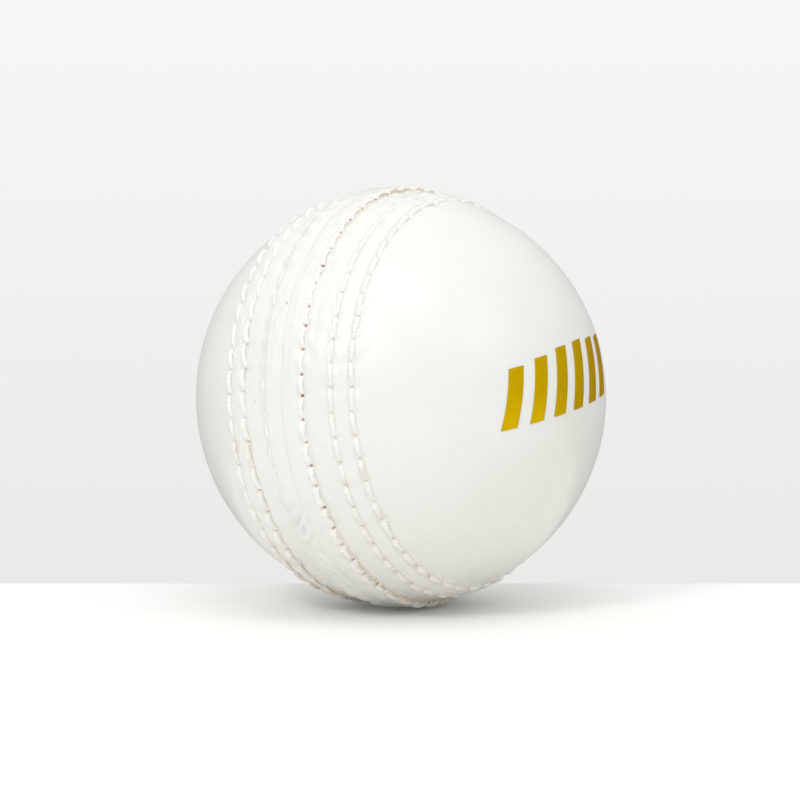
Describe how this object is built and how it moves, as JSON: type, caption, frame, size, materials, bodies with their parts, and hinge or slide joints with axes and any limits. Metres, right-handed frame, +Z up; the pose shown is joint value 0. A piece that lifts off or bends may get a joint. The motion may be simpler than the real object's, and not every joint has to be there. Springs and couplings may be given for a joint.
{
  "type": "cricket ball",
  "caption": "White cricket ball: two stitched leather cups over linings and a core of cork and wound yarn, with raised sewn rows round the joint and a foil mark on one cheek.",
  "frame": {"origin": "centre of the ball", "axes": "+X is the seam's axis, from the joint towards the cheek with the foil mark; the seam lies in the YZ plane; +Z is up"},
  "size_m": [0.0711, 0.0726, 0.0727],
  "materials": {
    "white_leather": "gloss",
    "lining_leather": "matte",
    "linen_thread": "satin",
    "wool_yarn": "matte",
    "cork": "matte",
    "cork_rubber": "matte",
    "gold_foil": "satin"
  },
  "bodies": {
    "root": {"nucleus": "cork_rubber", "yarn_layer_1": "wool_yarn", "cork_layer_1": "cork", "yarn_layer_2": "wool_yarn", "cork_layer_2": "cork", "yarn_layer_3": "wool_yarn", "cork_layer_3": "cork", "yarn_layer_4": "wool_yarn", "cork_layer_4": "cork", "yarn_layer_5": "wool_yarn", "left_lining": "lining_leather", "right_lining": "lining_leather", "left_cover": "white_leather", "right_cover": "white_leather", "left_outer_thread": "linen_thread", "left_middle_thread": "linen_thread", "closing_thread": "linen_thread", "right_middle_thread": "linen_thread", "right_outer_thread": "linen_thread", "foil_mark": "gold_foil"}
  },
  "joints": []
}
